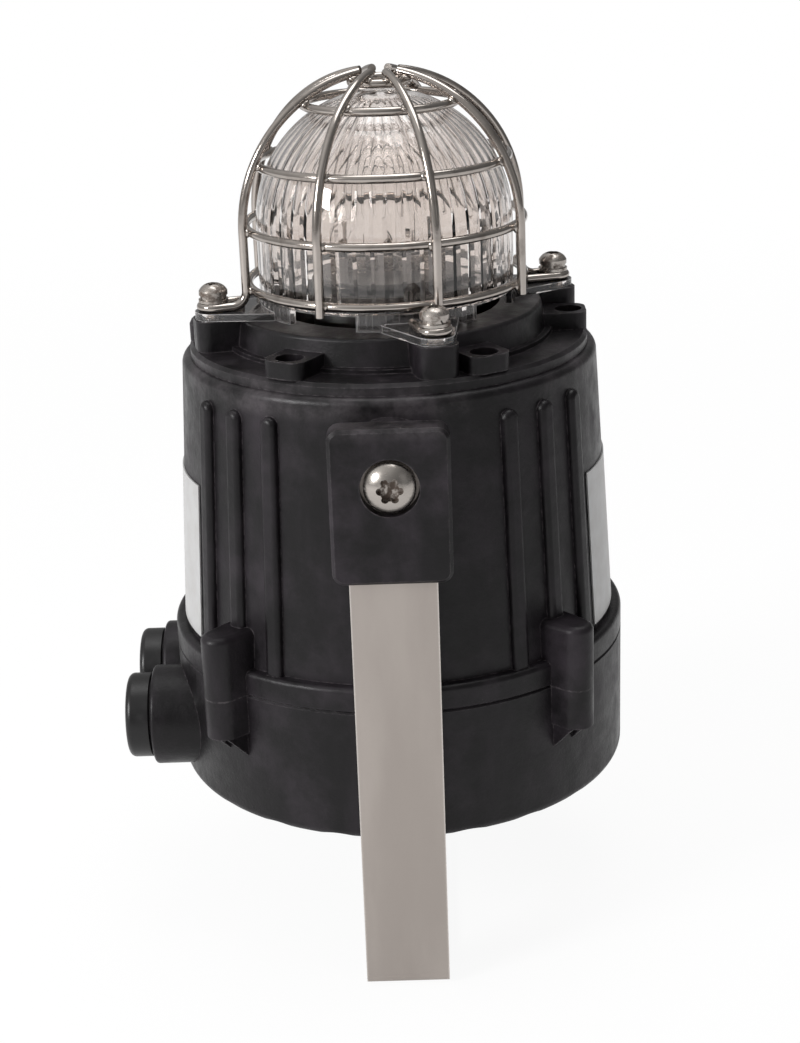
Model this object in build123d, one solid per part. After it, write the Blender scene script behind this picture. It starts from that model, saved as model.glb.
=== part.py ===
"""Xenon strobe beacon on a stirrup bracket, with a wire guard over a ribbed lens.

Millimetres, +Z up.  The origin is the middle of the underside of the stirrup's foot.
The front arm of the stirrup faces -Y, and the pivot axis runs along Y.
Bearings are in degrees from the front, positive towards +X.
"""
from build123d import *
import os
from math import asin, atan2, cos, degrees, pi, radians, sin, sqrt, tan

os.makedirs("parts", exist_ok=True)

# Clearances
fit_gap = 0.1            # pieces that slide together
running_gap = 0.06       # radial, pivot screw in its holes
turning_gap = 0.3        # between the bracket and the beacon

# Heights of the beacon, above the stirrup's foot
pivot_height = 179.6
base_bottom_z = 51.9
joint_z = 98.4           # base enclosure meets the housing
housing_top_z = 202.4
collar_top_z = 216.9     # the lens ears lie here

# Base enclosure
base_radius = 80.0
base_wall = 5.0
base_floor = 5.0
base_corner = 3.5
joint_edge = 0.6         # chamfer on both sides of the joint
scallop_count = 22       # shallow grooves across the rim of the underside
scallop_width = 14.5
scallop_depth = 1.6
underside_radius = 38.0
seal_radius = 1.0

# Housing
flange_height = 8.6
ledge_edge = 2.0
shoulder_radius = 71.2
housing_foot_radius = 76.2
housing_wall = 4.5
shoulder_edge = 2.9
deck_thickness = 7.0
deck_opening_radius = 30.0
rib_width = 6.2
rib_height = 2.5
rib_root = 1.5           # how deep a rib is rooted in the wall
rib_edge = 2.0
rib_top_z = 194.9
rib_spacing = 12.0
corner_angle = 44.0      # lugs and rib groups, either side of front and rear

# Lugs that bolt base and housing together
lug_radius = 5.9
lug_axis_radius = 85.2
lug_web_width = 14.5     # where the web meets the wall
lug_top_edge = 2.4
upper_lug_height = 22.5
lower_lug_height = 14.0
lug_screw_diameter = 5.0
lug_head_diameter = 8.5
lug_head_height = 5.0
lug_head_sink = 5.4      # depth of the well under the lower lug
lug_grip = 12.0          # thread length in the upper lug
gusset_length = 11.0
gusset_width = 1.8
gusset_offset = 4.6      # two gussets under each lug, either side of its middle

# Top ring
ring_flange_radius = 68.3
ring_flange_thickness = 4.0
collar_foot_radius = 54.0
collar_top_radius = 52.6
collar_bore_radius = 38.5
collar_edge = 1.4
collar_step_width = 2.2  # a low step round the collar's foot
collar_step_height = 1.5
guard_screw_radius = 60.0
guard_angle = 15.0
guard_boss_width = 13.6
guard_boss_reach = 7.0
guard_boss_corner = 4.6
ring_screw_radius = 62.0
ring_screw_count = 6
ring_boss_width = 14.8
ring_boss_reach = 6.0
ring_boss_height = 5.8
ring_boss_corner = 4.0
ring_head_diameter = 8.5
ring_head_height = 3.6
ring_head_gap = 0.45     # radial, screw head in its well
ring_seat_depth = 2.2    # how far the screw heads are sunk below the flange
ring_screw_diameter = 5.0

# Glass dome
glass_radius = 36.0
glass_wall = 3.5
glass_shoulder_z = 241.4
glass_foot_radius = 45.0
glass_foot_thickness = 5.0
gasket_thickness = 1.2

# Lens cover
lens_radius = 43.4
lens_wall = 2.2          # where the wall is thinnest, between two flutes
lens_flute_count = 60
lens_flute_depth = 0.9
lens_skirt_z = 221.9
lens_shoulder_z = 245.4
lens_window_angle = 34.0
ear_thickness = 2.5
ear_radius = 6.5
ear_root_width = 26.0

# Wire guard
wire = 3.0
hook_radius = 4.3
hook_return = 11.0
ring_levels = (225.7, 245.3, 266.1, 284.7)
leg_radius = 49.7
leg_shoulder_z = 245.4
leg_end_radius = 7.0
foot_bend = 5.0
top_ring_radius = 9.4
weld_bite = 0.3

# Domed screws, as shares of the head's height and diameter
head_rim = 0.36
recess_circle = 0.19
recess_lobe = 0.07

# Guard screws, M5
m5_head_diameter = 9.6
m5_head_height = 3.8
m5_washer_diameter = 10.0
m5_washer_thickness = 1.0
m5_spring_diameter = 8.8
m5_spring_thickness = 1.4
m5_diameter = 5.0
m5_thread_depth = 7.0
insert_radius = 3.6
insert_depth = 9.0

# Stirrup
strap_width = 28.0
strap_thickness = 3.0
strap_gap = 3.5          # base wall to the inner face of the arms
strap_bend = 1.5
strap_end_above_pivot = 14.0
foot_hole_diameter = 7.0
foot_hole_pitch = 40.0

# Pivot
pivot_screw_diameter = 8.0
pivot_head_diameter = 16.4
pivot_head_height = 5.4
pivot_washer_thickness = 1.6
pivot_thread_depth = 15.0
pivot_insert_radius = 6.5
cap_width = 38.0
cap_above_pivot = 18.9
cap_below_pivot = 31.8
cap_front_wall = 4.4
cap_rear_wall = 2.7
cap_corner = 4.0
cap_bevel = 1.1
cap_well_diameter = 18.6
ratchet_teeth = 20
ratchet_outer_radius = 16.0
ratchet_inner_radius = 8.0
ratchet_tooth_height = 1.2
ratchet_disc_thickness = 1.4
pivot_boss_radius = 17.0
pivot_boss_wall = 3.0    # round the threaded insert
pivot_boss_depth = 8.0   # how far that wall reaches inside the housing

# Cable entries and stopping plugs
entry_spacing = 41.2
entry_z = 73.4
entry_radius = 17.6
entry_edge = 1.2
entry_face_x = 88.0
entry_thread_radius = 10.0
plug_head_radius = 15.0
plug_head_length = 8.4
plug_shank_length = 13.0
plug_seal_thickness = 0.8

# Bare plates
plate_half_angle = 27.5
plate_bottom_z = 109.0
plate_top_z = 163.5
plate_thickness = 0.5
plate_glue = 0.05

# Inside
lamp_base_radius = 25.5
lamp_base_height = 24.0
lamp_flange_radius = 31.5
lamp_flange_thickness = 2.0
tube_bore_radius = 3.8
tube_spacing = 15.0
tube_height = 38.0
board_thickness = 1.6
trigger_board_radius = 44.0
trigger_board_z = 175.4
power_board_radius = 60.0
power_board_z = 145.4
pillar_radius = 3.5
pillar_circle = 40.0
pillar_thread = 4.0
capacitor_radius = 11.0
capacitor_height = 26.0
choke_length = 42.0
choke_width = 34.0
choke_height = 30.0
terminal_block_length = 62.0
terminal_block_width = 18.0
terminal_block_height = 17.0
terminal_count = 6
terminal_post_height = 5.0
terminal_post_radius = 4.0
terminal_post_y = 28.0
terminal_screw_radius = 2.0
terminal_screw_depth = 5.0
board_screw_radius = 1.5
capacitor_circle = 22.0
core_leg = 5.0
tube_seat = 6.0
tube_cap_height = 11.0

# Worked out from the sizes above
strap_inner_y = base_radius + strap_gap
strap_outer_y = strap_inner_y + strap_thickness
cap_back_y = strap_inner_y - cap_rear_wall
cap_front_y = strap_outer_y + cap_front_wall
ratchet_tip_y = cap_back_y - turning_gap
ratchet_root_y = ratchet_tip_y - ratchet_tooth_height
ratchet_base_y = ratchet_root_y - ratchet_disc_thickness
ledge_z = joint_z + flange_height
ring_flange_top_z = housing_top_z + ring_flange_thickness
deck_bottom_z = housing_top_z - deck_thickness
inner_joint_radius = base_radius - base_wall
wire_z = collar_top_z + ear_thickness + wire / 2
guard_washer_z = wire_z + wire / 2
entry_y = entry_spacing / 2
lamp_top_z = housing_top_z + lamp_flange_thickness + lamp_base_height
floor_top_z = base_bottom_z + scallop_depth + base_floor
terminal_z = floor_top_z + terminal_post_height
lug_seat_z = joint_z - lower_lug_height + lug_head_sink
ring_seat_z = ring_flange_top_z - ring_seat_depth
housing_inner_foot = housing_foot_radius - housing_wall
housing_inner_top = shoulder_radius - housing_wall


def wall_radius(z):
    """Outer radius of the drafted housing wall at a height."""
    share = (z - ledge_z) / (housing_top_z - ledge_z)
    return housing_foot_radius + (shoulder_radius - housing_foot_radius) * share


def spoke(angle, radius=0.0, z=0.0):
    """A place at a bearing, with its X pointing outwards and its Z up."""
    return Pos(0, 0, z) * Rot(0, 0, angle - 90) * Pos(radius, 0, 0)


def turned(points):
    """A solid of revolution about the beacon's axis, from (radius, height) points."""
    return revolve(Plane.XZ * make_face(Polyline(*points, close=True)), Axis.Z)


def disc(radius, thickness, z=0.0):
    return Pos(0, 0, z) * Cylinder(radius, thickness, align=(Align.CENTER, Align.CENTER, Align.MIN))


def ring(outer, inner, thickness, z=0.0):
    return disc(outer, thickness, z) - disc(inner, thickness, z)


def slot_pad(width, reach, back, height, corner):
    """A pad that grows outwards from the axis, with two rounded outer corners."""
    outline = Pos((reach - back) / 2, 0) * Rectangle(reach + back, width)
    outer_corners = outline.vertices().group_by(Axis.X)[-1]
    return extrude(fillet(outer_corners, corner), height)


def round_edges(shape, radius, z):
    """The circular edges of a solid at one radius and height."""
    return [edge for edge in shape.edges().filter_by(GeomType.CIRCLE)
            if abs(edge.arc_center.Z - z) < 0.01 and abs(edge.radius - radius) < 0.01]


def hex_socket(across, depth):
    return extrude(RegularPolygon(across / sqrt(3), 6), -depth)


def socket_screw(diameter, length, head_diameter, head_height):
    """A socket cap screw whose head sits on z = 0, with its shank below."""
    head = disc(head_diameter / 2, head_height)
    head = chamfer(head.edges().group_by(Axis.Z)[-1], 0.5)
    head -= Pos(0, 0, head_height) * hex_socket(diameter * 0.8, head_height * 0.55)
    return head + disc(diameter / 2, length, -length)


def domed_screw(diameter, length, head_diameter, head_height):
    """A pan head screw whose head sits on z = 0, with its shank below and a six-lobe recess."""
    rim = head_height * head_rim
    crown = Plane.XZ * make_face([
        Line((0, 0), (head_diameter / 2, 0)),
        Line((head_diameter / 2, 0), (head_diameter / 2, rim)),
        ThreePointArc((head_diameter / 2, rim), (head_diameter * 0.33, head_height * 0.84), (0, head_height)),
        Line((0, head_height), (0, 0)),
    ])
    head = revolve(crown, Axis.Z)
    lobe_circle = head_diameter * recess_circle
    recess = Circle(lobe_circle)
    for k in range(6):
        turn = radians(60 * k)
        recess += Pos(lobe_circle * cos(turn), lobe_circle * sin(turn)) * Circle(head_diameter * recess_lobe)
    head -= Pos(0, 0, head_height * 0.45) * extrude(recess, head_height)
    return head + disc(diameter / 2, length, -length)


def along_front(shape):
    """Turns a screw or washer about the Z axis to point out of the front, along -Y."""
    return Rot(90, 0, 0) * shape


def rear_copy(shape):
    """The same piece on the other side of the pivot."""
    return Rot(0, 0, 180) * shape


def make_stirrup():
    """A flat strip bent to a U, with full-round ends at the pivot."""
    outer_half = strap_outer_y
    top = pivot_height + strap_end_above_pivot
    outer = Rectangle(2 * outer_half, top, align=(Align.CENTER, Align.MIN))
    outer = fillet(outer.vertices().group_by(Axis.Y)[0], strap_bend + strap_thickness)
    inner = Pos(0, strap_thickness) * Rectangle(2 * strap_inner_y, top, align=(Align.CENTER, Align.MIN))
    inner = fillet(inner.vertices().group_by(Axis.Y)[0], strap_bend)
    strip = extrude(Plane.YZ * (outer - inner), strap_width / 2, both=True)
    face = Rectangle(strap_width, pivot_height, align=(Align.CENTER, Align.MIN))
    face += Pos(0, pivot_height) * Circle(strap_end_above_pivot)
    face -= Pos(0, pivot_height) * Circle(pivot_screw_diameter / 2 + running_gap)
    strip &= extrude(Plane.XZ * face, strap_outer_y, both=True)
    for y in (-foot_hole_pitch, 0, foot_hole_pitch):
        strip -= Pos(0, y, 0) * Cylinder(foot_hole_diameter / 2, 4 * strap_thickness)
    return strip


def tooth_ring(root_y, tip_y):
    """Radial ratchet teeth on a face across the pivot axis, in the pivot's own frame."""
    span = 360 / ratchet_teeth
    half = ratchet_outer_radius * tan(radians(span / 4))
    teeth = []
    for k in range(ratchet_teeth):
        height = tip_y - root_y
        tooth = Plane.YZ * make_face(Polyline((-half, 0), (half, 0), (half * 0.35, height), (-half * 0.35, height), close=True))
        root = Plane.YZ * make_face(Polyline((-half / 2, 0), (half / 2, 0), (half * 0.17, height), (-half * 0.17, height),
                                             close=True))
        wedge = loft([Pos(ratchet_inner_radius, 0, 0) * root, Pos(ratchet_outer_radius, 0, 0) * tooth])
        teeth.append(Rot(0, 0, k * span) * Pos(0, 0, root_y) * wedge)
    return teeth


def make_pivot_cap():
    """A moulded cap that holds the strap's end, with ratchet teeth on its back."""
    depth = cap_front_y - cap_back_y - ratchet_tooth_height
    centre_z = (cap_above_pivot - cap_below_pivot) / 2
    block = extrude(Pos(0, centre_z) * RectangleRounded(cap_width, cap_above_pivot + cap_below_pivot, cap_corner), depth)
    block = chamfer(block.faces().sort_by(Axis.Z)[-1].edges(), cap_bevel)
    front = cap_back_y + ratchet_tooth_height
    block = Pos(0, 0, front) * block
    pocket = Rectangle(strap_width + 2 * fit_gap, cap_below_pivot, align=(Align.CENTER, Align.MAX))
    pocket += Circle(strap_end_above_pivot + fit_gap)
    block -= Pos(0, 0, strap_inner_y - fit_gap / 2) * extrude(pocket, strap_thickness + fit_gap)
    block -= Pos(0, 0, strap_inner_y) * disc(cap_well_diameter / 2, cap_front_y)
    block -= disc(pivot_screw_diameter / 2 + running_gap, cap_front_y)
    half_step = 180 / ratchet_teeth
    for tooth in tooth_ring(0, ratchet_tooth_height):
        block += Pos(0, 0, front) * Rot(0, 0, half_step) * Rot(180, 0, 0) * tooth
    return Pos(0, 0, pivot_height) * along_front(block)


def make_ratchet_disc():
    """The toothed disc that the beacon carries, facing the cap."""
    plate = disc(ratchet_outer_radius + 1, ratchet_disc_thickness, ratchet_base_y)
    for tooth in tooth_ring(ratchet_root_y, ratchet_tip_y):
        plate += tooth
    plate -= disc(pivot_screw_diameter / 2 + running_gap, cap_front_y)
    return Pos(0, 0, pivot_height) * along_front(plate)


def make_pivot_washer():
    washer = ring(pivot_head_diameter / 2, pivot_screw_diameter / 2 + running_gap, pivot_washer_thickness, strap_outer_y)
    return Pos(0, 0, pivot_height) * along_front(washer)


def make_pivot_screw():
    seat = strap_outer_y + pivot_washer_thickness + turning_gap
    length = seat - ratchet_base_y + pivot_thread_depth - 1
    screw = domed_screw(pivot_screw_diameter, length, pivot_head_diameter, pivot_head_height)
    return Pos(0, 0, pivot_height) * along_front(Pos(0, 0, seat) * screw)


def make_pivot_insert():
    insert = ring(pivot_insert_radius, pivot_screw_diameter / 2, pivot_thread_depth, ratchet_base_y - pivot_thread_depth)
    return Pos(0, 0, pivot_height) * along_front(insert)


def lug_places():
    return [corner_angle, -corner_angle, 180 - corner_angle, 180 + corner_angle]


def lug_block(height, radius):
    """A screw boss with the flared web that ties it to the wall behind."""
    back = lug_axis_radius - housing_inner_top
    half = lug_web_width / 2
    web = make_face(Polyline((0, -radius), (0, radius), (-back, half), (-back, -half), close=True))
    return extrude(Circle(radius) + web, height)


def rib(angle):
    """A rib with a rounded section and a full-round top, leaning with the drafted wall."""
    low = ledge_z - 1
    lean = atan2(wall_radius(low) - wall_radius(rib_top_z), rib_top_z - low)
    straight = (rib_top_z - low) / cos(lean) - rib_width / 2
    outline = Rectangle(rib_width, straight, align=(Align.CENTER, Align.MIN))
    outline += Pos(0, straight) * Circle(rib_width / 2)
    bar = extrude(Plane.YZ * outline, rib_height + rib_root)
    bar = fillet(bar.faces().sort_by(Axis.X)[-1].edges(), rib_edge)
    return spoke(angle, wall_radius(low) - rib_root, low) * Rot(0, -degrees(lean), 0) * bar


def make_housing():
    """The upper enclosure: a drafted tube with a deck, a foot flange, ribs, lugs and pivot bosses."""
    outline = Polyline(
        (deck_opening_radius, housing_top_z), (shoulder_radius, housing_top_z),
        (wall_radius(ledge_z), ledge_z), (base_radius, ledge_z),
        (base_radius, joint_z + joint_edge), (base_radius - joint_edge, joint_z),
        (inner_joint_radius - 2, joint_z), (inner_joint_radius - 2, joint_z + 2),
        (housing_inner_foot, joint_z + base_wall), (housing_inner_top, deck_bottom_z),
        (deck_opening_radius, deck_bottom_z), close=True)
    shell = revolve(Plane.XZ * make_face(outline), Axis.Z)
    shell = fillet(round_edges(shell, shoulder_radius, housing_top_z), shoulder_edge)
    body = fillet(round_edges(shell, base_radius, ledge_z), ledge_edge)
    inside = turned([(0, joint_z), (housing_inner_foot, joint_z), (housing_inner_foot, joint_z + base_wall),
                     (housing_inner_top, deck_bottom_z), (0, deck_bottom_z)])
    lug = fillet(lug_block(upper_lug_height, lug_radius).edges().group_by(Axis.Z)[-1], lug_top_edge)
    lug -= disc(lug_screw_diameter / 2, lug_grip + 1)
    for group in lug_places():
        for step in (-1, 0, 1):
            body += rib(group + step * rib_spacing) - inside
        body += spoke(group, lug_axis_radius, joint_z) * lug - inside
    boss = disc(pivot_boss_radius, ratchet_base_y - housing_inner_top, housing_inner_top)
    boss_root = housing_inner_top - pivot_boss_depth
    boss += disc(pivot_insert_radius + pivot_boss_wall, ratchet_base_y - boss_root, boss_root)
    pocket = disc(pivot_insert_radius, pivot_thread_depth, ratchet_base_y - pivot_thread_depth)
    boss = Pos(0, 0, pivot_height) * along_front(boss)
    pocket = Pos(0, 0, pivot_height) * along_front(pocket)
    body += boss + rear_copy(boss)
    body -= pocket + rear_copy(pocket)
    for angle in ring_screw_angles():
        body -= spoke(angle, ring_screw_radius, housing_top_z) * Cylinder(ring_screw_diameter / 2, 2 * deck_thickness + 1)
    for angle in pillar_angles():
        body -= spoke(angle, pillar_circle, deck_bottom_z) * Cylinder(board_screw_radius, 2 * pillar_thread + 1)
    return body


def make_base():
    """The lower enclosure: a cup with a scalloped underside, cable entries and lugs."""
    cup = fillet(disc(base_radius, joint_z - base_bottom_z, base_bottom_z).edges().group_by(Axis.Z)[0], base_corner)
    cup = chamfer(cup.edges().group_by(Axis.Z)[-1], joint_edge)
    groove = (scallop_width ** 2 / 4 + scallop_depth ** 2) / (2 * scallop_depth)
    scallop = Pos(0, 0, scallop_depth - groove) * Rot(0, 90, 0) * disc(groove, base_radius)
    for k in range(scallop_count):
        cup -= spoke(k * 360 / scallop_count, underside_radius, base_bottom_z) * scallop
    cup -= disc(underside_radius + 1, scallop_depth, base_bottom_z)
    entry = fillet(disc(entry_radius, entry_face_x / 2).edges().group_by(Axis.Z)[0], entry_edge)
    thread = disc(entry_thread_radius, entry_face_x / 3)
    for side in (-1, 1):
        cup += entry_place(side) * Rot(180, 0, 0) * entry
    lug = lug_block(lower_lug_height, lug_radius)
    back = lug_axis_radius - base_radius + base_wall / 2
    gusset = Plane.XZ * make_face(Polyline((-back, 0), (lug_radius / 2, 0), (-back, -gusset_length), close=True))
    gusset = extrude(gusset, gusset_width / 2, both=True)
    lug += Pos(0, gusset_offset, 0) * gusset
    lug += Pos(0, -gusset_offset, 0) * gusset
    lug -= disc(lug_head_diameter / 2 + ring_head_gap, lug_head_sink + gusset_length, -gusset_length)
    lug -= disc(lug_screw_diameter / 2 + fit_gap, lower_lug_height)
    for angle in lug_places():
        cup += spoke(angle, lug_axis_radius, joint_z - lower_lug_height) * lug
    cup -= fillet(disc(inner_joint_radius, joint_z, floor_top_z).edges().group_by(Axis.Z)[0], base_corner)
    for side in (-1, 1):
        cup -= entry_place(side) * Rot(180, 0, 0) * thread
    groove_radius = inner_joint_radius + base_wall / 2
    cup -= ring(groove_radius + seal_radius, groove_radius - seal_radius, 3 * seal_radius, joint_z - 2 * seal_radius)
    for y in (-terminal_post_y, terminal_post_y):
        cup += Pos(0, y, floor_top_z) * ring(terminal_post_radius, board_screw_radius, terminal_post_height)
    return cup


def make_joint_seal():
    return Pos(0, 0, joint_z - seal_radius) * Torus(inner_joint_radius + base_wall / 2, seal_radius)


def guard_angles():
    return [guard_angle + 90 * k for k in range(4)]


def ring_screw_angles():
    return [30 + k * 360 / ring_screw_count for k in range(ring_screw_count)]


def make_top_ring():
    """The cover ring that clamps the glass dome: a flange, a collar and ten screw bosses."""
    recess_top_z = housing_top_z + glass_foot_thickness + gasket_thickness
    recess_radius = glass_foot_radius + 2 * fit_gap
    body = turned([(recess_radius, housing_top_z), (ring_flange_radius, housing_top_z),
                   (ring_flange_radius, ring_flange_top_z - 1.2), (ring_flange_radius - 1.2, ring_flange_top_z),
                   (collar_foot_radius + collar_step_width, ring_flange_top_z),
                   (collar_foot_radius + collar_step_width, ring_flange_top_z + collar_step_height),
                   (collar_foot_radius, ring_flange_top_z + collar_step_height), (collar_top_radius, collar_top_z),
                   (collar_bore_radius, collar_top_z), (collar_bore_radius, recess_top_z),
                   (recess_radius, recess_top_z)])
    body = fillet(round_edges(body, collar_top_radius, collar_top_z), collar_edge)
    guard_boss_height = collar_top_z - ring_flange_top_z
    guard_back = guard_screw_radius - collar_top_radius + 3
    ring_back = ring_screw_radius - collar_top_radius + 3
    for angle in guard_angles():
        pad = slot_pad(guard_boss_width, guard_boss_reach, guard_back, guard_boss_height, guard_boss_corner)
        body += spoke(angle, guard_screw_radius, ring_flange_top_z) * pad
    for angle in ring_screw_angles():
        pad = slot_pad(ring_boss_width, ring_boss_reach, ring_back, ring_boss_height, ring_boss_corner)
        body += spoke(angle, ring_screw_radius, ring_flange_top_z) * pad
    for angle in guard_angles():
        body -= spoke(angle, guard_screw_radius, collar_top_z - insert_depth) * disc(insert_radius, 2 * insert_depth)
    for angle in ring_screw_angles():
        place = spoke(angle, ring_screw_radius, ring_seat_z)
        body -= place * disc(ring_head_diameter / 2 + ring_head_gap, 3 * ring_boss_height)
        body -= place * Cylinder(ring_screw_diameter / 2 + fit_gap, 6 * ring_flange_thickness)
    return body


def make_glass_dome():
    """A thick glass bell with a foot flange."""
    top = glass_shoulder_z + glass_radius
    inner = glass_radius - glass_wall
    diagonal = sqrt(0.5)
    outline = make_face([
        Line((inner, housing_top_z), (glass_foot_radius, housing_top_z)),
        Line((glass_foot_radius, housing_top_z), (glass_foot_radius, housing_top_z + glass_foot_thickness)),
        Line((glass_foot_radius, housing_top_z + glass_foot_thickness), (glass_radius, housing_top_z + glass_foot_thickness)),
        Line((glass_radius, housing_top_z + glass_foot_thickness), (glass_radius, glass_shoulder_z)),
        ThreePointArc((glass_radius, glass_shoulder_z),
                      (glass_radius * diagonal, glass_shoulder_z + glass_radius * diagonal), (0, top)),
        Line((0, top), (0, top - glass_wall)),
        ThreePointArc((0, top - glass_wall), (inner * diagonal, glass_shoulder_z + inner * diagonal),
                      (inner, glass_shoulder_z)),
        Line((inner, glass_shoulder_z), (inner, housing_top_z)),
    ])
    return revolve(Plane.XZ * outline, Axis.Z)


def make_dome_gasket():
    return ring(glass_foot_radius, collar_bore_radius, gasket_thickness, housing_top_z + glass_foot_thickness)


def dome_solid(radius, foot_z, shoulder_z):
    """A closed bell: a cylinder under a half sphere."""
    diagonal = sqrt(0.5)
    outline = make_face([
        Line((0, foot_z), (radius, foot_z)),
        Line((radius, foot_z), (radius, shoulder_z)),
        ThreePointArc((radius, shoulder_z), (radius * diagonal, shoulder_z + radius * diagonal), (0, shoulder_z + radius)),
        Line((0, shoulder_z + radius), (0, foot_z)),
    ])
    return revolve(Plane.XZ * outline, Axis.Z)


def make_lens():
    """The ribbed lens: a bell with V flutes inside, on four clamped ears, with windows under its skirt."""
    inner = lens_radius - lens_wall
    flutes = []
    for k in range(lens_flute_count):
        for share, radius in ((0, inner), (0.5, inner - lens_flute_depth)):
            turn = 2 * pi * (k + share) / lens_flute_count
            flutes.append((radius * cos(turn), radius * sin(turn)))
    height = lens_shoulder_z + lens_radius - collar_top_z
    prism = Pos(0, 0, collar_top_z) * extrude(make_face(Polyline(*flutes, close=True)), height)
    bell = dome_solid(lens_radius, collar_top_z, lens_shoulder_z)
    root = Pos(lens_radius - 1 - guard_screw_radius, 0) * Rectangle(1, ear_root_width)
    ear = extrude(make_hull(Circle(ear_radius).edges() + root.edges()), ear_thickness)
    for angle in guard_angles():
        bell += spoke(angle, guard_screw_radius, collar_top_z) * ear
    bell -= dome_solid(inner, collar_top_z, lens_shoulder_z) & prism
    window_root = inner - 2 * lens_flute_depth
    window = turned([(window_root, collar_top_z), (lens_radius + 1, collar_top_z),
                     (lens_radius + 1, lens_skirt_z), (window_root, lens_skirt_z)])
    half = Box(2 * lens_radius, 2 * lens_radius, 4 * (lens_skirt_z - collar_top_z),
               align=(Align.MIN, Align.MIN, Align.CENTER))
    half = Pos(0, 0, collar_top_z) * half
    wedge = window & half & Rot(0, 0, lens_window_angle - 90) * half
    for angle in guard_angles():
        bell -= Rot(0, 0, angle - 45 - lens_window_angle / 2) * wedge
        bell -= spoke(angle, guard_screw_radius, collar_top_z) * Cylinder(m5_diameter / 2 + 2 * fit_gap, 9 * ear_thickness)
    return bell


def swept_wire(edges):
    path = Wire(edges)
    return sweep(Plane(origin=path @ 0, z_dir=path % 0) * Circle(wire / 2), path=path)


def dome_arc(side):
    """The arc of a leg over the lens, from the leg's shoulder to its end near the axis."""
    along = sqrt(leg_radius ** 2 - side ** 2)
    end_rise = sqrt(leg_radius ** 2 - leg_end_radius ** 2)
    lean = atan2(end_rise, leg_end_radius) / 2
    unit = Vector(along / leg_radius, side / leg_radius, 0)
    start = Vector(along, side, leg_shoulder_z)
    middle = unit * (leg_radius * cos(lean)) + Vector(0, 0, leg_shoulder_z + leg_radius * sin(lean))
    end = unit * leg_end_radius + Vector(0, 0, leg_shoulder_z + end_rise)
    return ThreePointArc(end, middle, start), along


def make_hook_leg():
    """A leg that ends in a hook round a guard screw; its X axis points at the screw."""
    arc, along = dome_arc(hook_radius)
    diagonal = sqrt(0.5)
    bend_top = (along, hook_radius, wire_z + foot_bend)
    bend_middle = (along + foot_bend * (1 - diagonal), hook_radius, wire_z + foot_bend * (1 - diagonal))
    bend_end = (along + foot_bend, hook_radius, wire_z)
    return swept_wire([
        arc,
        Line((along, hook_radius, leg_shoulder_z), bend_top),
        ThreePointArc(bend_top, bend_middle, bend_end),
        Line(bend_end, (guard_screw_radius, hook_radius, wire_z)),
        ThreePointArc((guard_screw_radius, hook_radius, wire_z), (guard_screw_radius + hook_radius, 0, wire_z),
                      (guard_screw_radius, -hook_radius, wire_z)),
        Line((guard_screw_radius, -hook_radius, wire_z), (guard_screw_radius - hook_return, -hook_radius, wire_z)),
    ])


def make_plain_leg():
    arc, along = dome_arc(0)
    return swept_wire([arc, Line((along, 0, leg_shoulder_z), (along, 0, ring_levels[0] - wire))])


def guard_ring_radius(z):
    """Radius of a ring that lies inside the legs and bites into them by the weld."""
    inside = leg_radius - wire + weld_bite
    return inside if z <= leg_shoulder_z else sqrt(inside ** 2 - (z - leg_shoulder_z) ** 2)


def make_guard():
    """The welded wire guard: eight legs, four of them hooked, on five rings."""
    inside = leg_radius - wire + weld_bite
    top_z = leg_shoulder_z + sqrt(inside ** 2 - top_ring_radius ** 2)
    cage = Pos(0, 0, top_z) * Torus(top_ring_radius, wire / 2)
    for z in ring_levels:
        cage += Pos(0, 0, z) * Torus(guard_ring_radius(z), wire / 2)
    hook_leg = make_hook_leg()
    plain_leg = make_plain_leg()
    hook_turn = degrees(asin(hook_radius / leg_radius))
    for angle in guard_angles():
        cage += spoke(angle) * hook_leg
        cage += spoke(angle + hook_turn + 45) * plain_leg
    return cage


def guard_stack(shape, z):
    return [spoke(angle, guard_screw_radius, z) * shape for angle in guard_angles()]


def make_plug():
    """A stopping plug with a rounded head and a hexagon recess; its shank is below z = 0."""
    head = disc(plug_head_radius, plug_head_length)
    head = fillet(head.edges().group_by(Axis.Z)[-1], 2.2)
    head = fillet(head.edges().group_by(Axis.Z)[0], 0.5)
    head -= Pos(0, 0, plug_head_length) * hex_socket(10, 5)
    return head + disc(entry_thread_radius - 0.05, plug_shank_length, -plug_shank_length)


def entry_place(side, out=0.0):
    return Pos(-entry_face_x - out, side * entry_y, entry_z) * Rot(0, -90, 0)


def make_plate(bearing):
    """A thin bare plate that follows the drafted wall."""
    low = wall_radius(plate_bottom_z) + plate_glue
    high = wall_radius(plate_top_z) + plate_glue
    section = make_face(Polyline((low, plate_bottom_z), (low + plate_thickness, plate_bottom_z),
                                 (high + plate_thickness, plate_top_z), (high, plate_top_z), close=True))
    band = revolve(Plane.XZ * section, Axis.Z, 2 * plate_half_angle)
    return Rot(0, 0, bearing - 90 - plate_half_angle) * band


def make_lamp_base():
    body = disc(lamp_flange_radius, lamp_flange_thickness, housing_top_z)
    body += disc(deck_opening_radius - fit_gap, deck_thickness + 1, deck_bottom_z - 1)
    tower = disc(lamp_base_radius, lamp_base_height, housing_top_z + lamp_flange_thickness)
    body += chamfer(tower.edges().group_by(Axis.Z)[-1], 1.5)
    for side in (-1, 1):
        body -= Pos(side * tube_spacing / 2, 0, lamp_top_z - tube_seat) * disc(tube_bore_radius + 1 + fit_gap / 2, 2 * tube_seat)
    return body


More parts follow.
